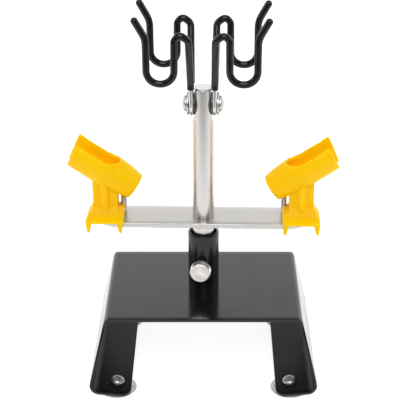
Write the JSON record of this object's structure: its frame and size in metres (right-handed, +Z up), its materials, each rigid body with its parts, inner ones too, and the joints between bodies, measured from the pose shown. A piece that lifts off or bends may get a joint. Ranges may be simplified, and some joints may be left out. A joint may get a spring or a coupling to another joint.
{
  "type": "airbrush holder stand",
  "caption": "Bench stand that holds airbrushes in wire hooks and tilted plastic tubes on a crossbar above a bent steel base with suction cups.",
  "frame": {"origin": "on the surface the stand rests on, under the middle of the base", "axes": "+X to the right, +Y to the back, +Z up along the post"},
  "size_m": [0.2192, 0.1446, 0.306],
  "materials": {
    "black_powder_coat": "satin powder coat",
    "clear_grey_vinyl": "translucent soft vinyl",
    "zinc_plated_steel": "bright zinc plate",
    "dark_steel": "blackened",
    "nickel_plated_steel": "satin nickel",
    "brushed_stainless": "brushed",
    "bright_wire": "bright drawn",
    "black_vinyl_dip": "satin vinyl dip",
    "yellow_plastic": "moulded, semi gloss"
  },
  "bodies": {
    "base": {"base_plate": "black_powder_coat", "sleeve": "black_powder_coat", "suction_cup_front_left": "clear_grey_vinyl", "foot_screw_front_left": "zinc_plated_steel", "suction_cup_front_right": "clear_grey_vinyl", "foot_screw_front_right": "zinc_plated_steel", "suction_cup_rear_left": "clear_grey_vinyl", "foot_screw_rear_left": "zinc_plated_steel", "suction_cup_rear_right": "clear_grey_vinyl", "foot_screw_rear_right": "zinc_plated_steel"},
    "screw_shank": {"thumb_screw_shank": "nickel_plated_steel"},
    "screw_knob": {"thumb_screw_knob": "nickel_plated_steel"},
    "spigot": {"spigot": "brushed_stainless"},
    "mast": {"crossbar": "brushed_stainless", "post": "brushed_stainless", "post_stud": "zinc_plated_steel", "hook_inner_washer_left": "dark_steel", "hook_outer_washer_left": "zinc_plated_steel", "hook_bolt_left": "zinc_plated_steel", "airbrush_holder_left": "yellow_plastic", "holder_screw_left": "zinc_plated_steel", "stop_pin_left": "zinc_plated_steel", "hook_inner_washer_right": "dark_steel", "hook_outer_washer_right": "zinc_plated_steel", "hook_bolt_right": "zinc_plated_steel", "airbrush_holder_right": "yellow_plastic", "holder_screw_right": "zinc_plated_steel", "stop_pin_right": "zinc_plated_steel"},
    "hook_left": {"hook_wire_left": "bright_wire", "hook_coat_left_front": "black_vinyl_dip", "hook_coat_left_rear": "black_vinyl_dip"},
    "hook_right": {"hook_wire_right": "bright_wire", "hook_coat_right_front": "black_vinyl_dip", "hook_coat_right_rear": "black_vinyl_dip"}
  },
  "joints": [
    {"name": "thumb_screw_travel", "type": "slide", "parent": "base", "child": "screw_shank", "axis": [-0.1132, -0.9936, 0], "range_m": [0, 0.0024]},
    {"name": "thumb_screw_turn", "type": "hinge", "parent": "screw_shank", "child": "screw_knob", "pos_m": [0, 0, 0.0913], "axis": [-0.1132, -0.9936, 0], "range_deg": [0, 720]},
    {"name": "spigot_lift", "type": "slide", "parent": "base", "child": "spigot", "axis": [0, 0, 1], "range_m": [0, 0.018]},
    {"name": "mast_swivel", "type": "hinge", "parent": "spigot", "child": "mast", "pos_m": [0, 0, 0.128], "axis": [0, 0, 1], "continuous": true},
    {"name": "hook_left_tilt", "type": "hinge", "parent": "mast", "child": "hook_left", "pos_m": [0, 0, 0.2293], "axis": [0.9996, -0.0279, 0], "range_deg": [-60, 60]},
    {"name": "hook_right_tilt", "type": "hinge", "parent": "mast", "child": "hook_right", "pos_m": [0, 0, 0.2293], "axis": [0.9996, -0.0279, 0], "range_deg": [-60, 60]}
  ],
  "couplings": [
    {"joint": "thumb_screw_travel", "follows": "thumb_screw_turn", "m_per_rad": 0.00015915}
  ]
}
